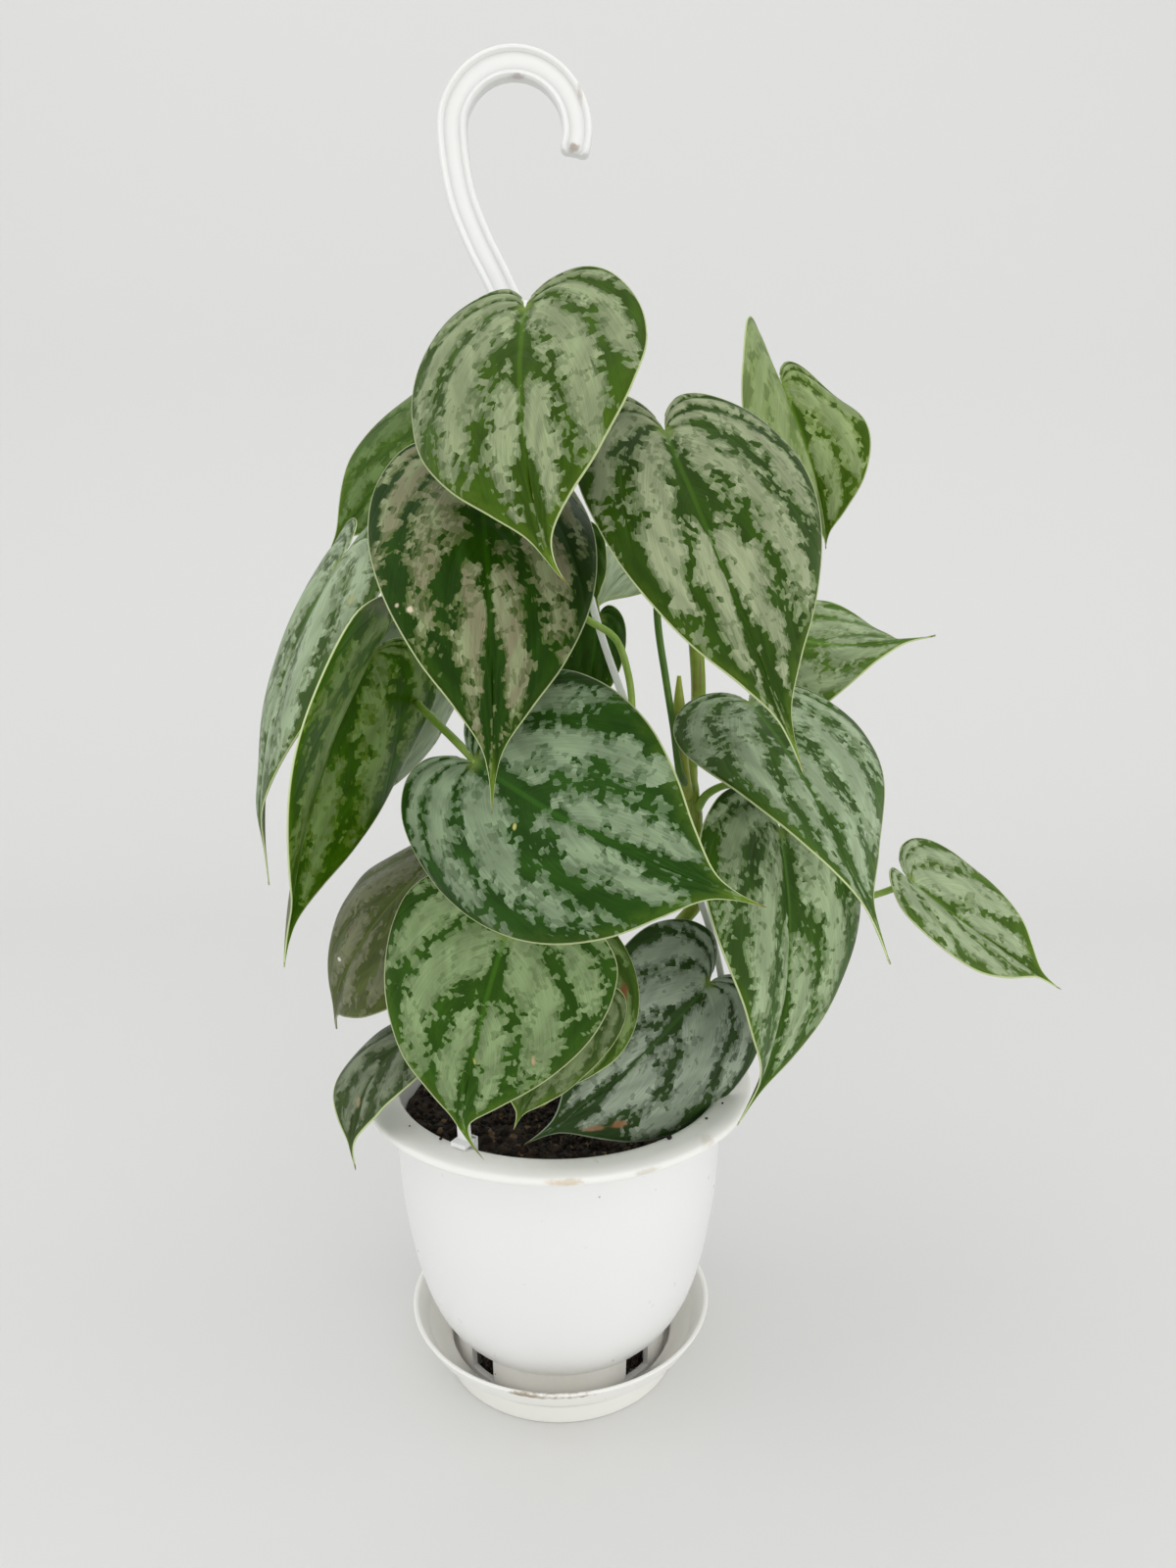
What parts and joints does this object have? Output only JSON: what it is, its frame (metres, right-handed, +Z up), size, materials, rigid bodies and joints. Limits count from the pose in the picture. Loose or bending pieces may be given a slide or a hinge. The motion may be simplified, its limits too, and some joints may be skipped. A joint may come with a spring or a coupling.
{
  "type": "potted silver leaf philodendron",
  "caption": "Trailing house plant with heart-shaped silver and green leaves in a round hanging pot with saucer and hook.",
  "frame": {"origin": "centre of the saucer's flat underside, on the axis of pot and saucer", "axes": "+Z up, the plant's full side towards -Y, the hook's open end towards +X"},
  "size_m": [0.2973, 0.2034, 0.4786],
  "materials": {
    "pot_plastic": "glossy white, slightly translucent",
    "soil": "rough potting soil",
    "stem": "smooth green stem",
    "leaf": "satin leaf, silver patches between green veins",
    "leaf_low": "satin leaf, bluish grey-green"
  },
  "bodies": {
    "root": {"pot": "pot_plastic", "saucer": "pot_plastic", "hanger": "pot_plastic", "soil": "soil", "vine_left": "stem", "vine_low": "stem", "vine_right": "stem", "leaf_01": "leaf", "leaf_02": "leaf", "leaf_03": "leaf", "leaf_04": "leaf", "leaf_05": "leaf", "leaf_06": "leaf", "leaf_07": "leaf", "leaf_08": "leaf", "leaf_09": "leaf", "leaf_10": "leaf", "leaf_11": "leaf_low", "leaf_12": "leaf_low", "leaf_13": "leaf_low", "leaf_14": "leaf_low", "leaf_15": "leaf", "leaf_16": "leaf", "leaf_17": "leaf", "leaf_18": "leaf", "leaf_19": "leaf_low", "leaf_20": "leaf", "leaf_21": "leaf", "leaf_22": "leaf"}
  },
  "joints": []
}
